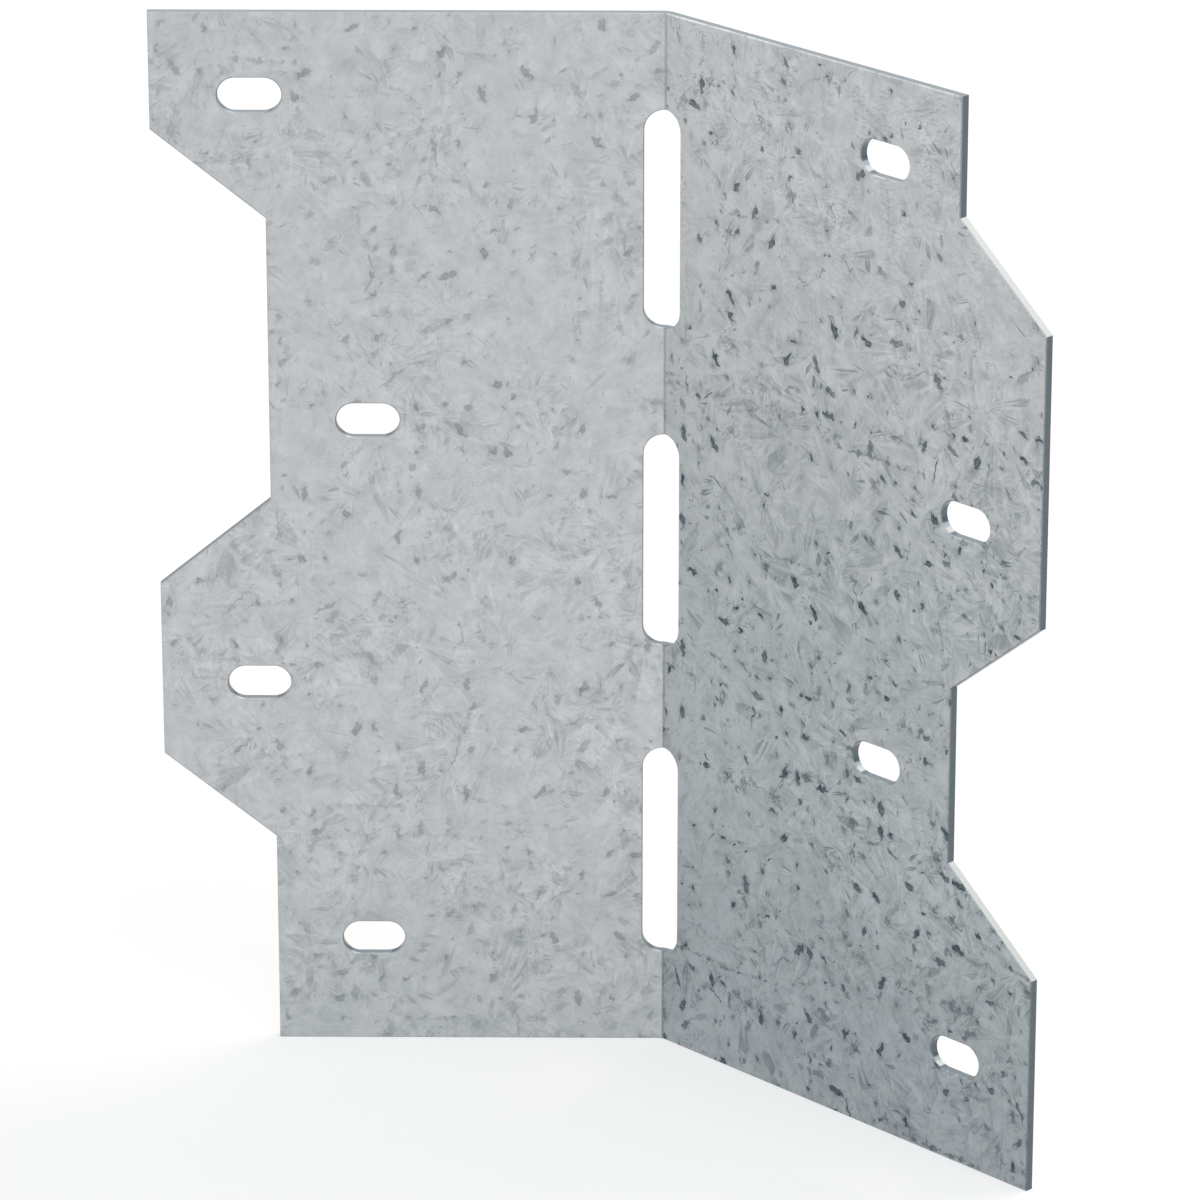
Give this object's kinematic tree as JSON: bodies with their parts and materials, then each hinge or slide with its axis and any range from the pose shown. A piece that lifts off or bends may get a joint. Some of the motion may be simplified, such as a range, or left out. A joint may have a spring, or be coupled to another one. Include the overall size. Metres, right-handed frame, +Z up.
{
  "type": "skewable angle",
  "caption": "Galvanised sheet-steel angle with stepped flanges, level nail slots and a slotted fold line, for tying timber members that meet at a skew.",
  "frame": {"origin": "on the line where the planes of the two back faces meet, at the height of the bottom edge", "axes": "+Z up along the fold, +Y out of the left flange's back face, left flange towards -X, right flange towards +X and -Y at 45 degrees"},
  "size_m": [0.0983, 0.0415, 0.1238],
  "materials": {
    "galvanised_steel": "hot-dip zinc with a fine feathery spangle, bare sheared edges"
  },
  "bodies": {
    "root": {"skewable_angle": "galvanised_steel"}
  },
  "joints": []
}
